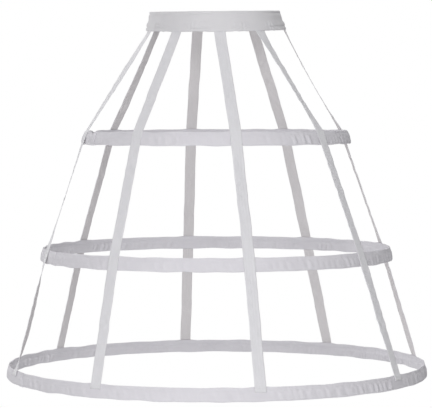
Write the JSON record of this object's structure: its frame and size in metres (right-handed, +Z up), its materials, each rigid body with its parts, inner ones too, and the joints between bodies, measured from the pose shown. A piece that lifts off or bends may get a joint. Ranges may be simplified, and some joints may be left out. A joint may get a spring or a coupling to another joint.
{
  "type": "crinoline cage",
  "caption": "Hooped underskirt cage: a folded waistband carries cotton tapes that hang widening spring hoops in cloth casings, to hold out a full skirt.",
  "frame": {"origin": "middle of the waist: on the axis of the hoops, half-way up the waistband", "axes": "+Z up along the axis of the hoops, +X to the right as seen from the front, -Y towards the wearer's front"},
  "size_m": [0.7239, 0.7239, 0.6314],
  "materials": {
    "waistband_cloth": "plain-woven white cotton, folded and stitched",
    "tape_cloth": "white herringbone cotton tape",
    "casing_cloth": "plain-woven white cotton, folded and stitched",
    "spring_steel": "bare spring strip",
    "joiner_metal": "pressed sleeve",
    "hook_metal": "pressed and tinned"
  },
  "bodies": {
    "root": {"waistband": "waistband_cloth", "waist_hooks": "hook_metal", "waist_bars": "hook_metal", "front_tape": "tape_cloth", "front_right_tape": "tape_cloth", "right_side_tape": "tape_cloth", "back_right_tape": "tape_cloth", "back_tape": "tape_cloth", "back_left_tape": "tape_cloth", "left_side_tape": "tape_cloth", "front_left_tape": "tape_cloth", "top_hoop_casing": "casing_cloth", "top_hoop_steel": "spring_steel", "top_hoop_joiner": "joiner_metal", "middle_hoop_casing": "casing_cloth", "middle_hoop_steel": "spring_steel", "middle_hoop_joiner": "joiner_metal", "bottom_hoop_casing": "casing_cloth", "bottom_hoop_steel": "spring_steel", "bottom_hoop_joiner": "joiner_metal"}
  },
  "joints": []
}
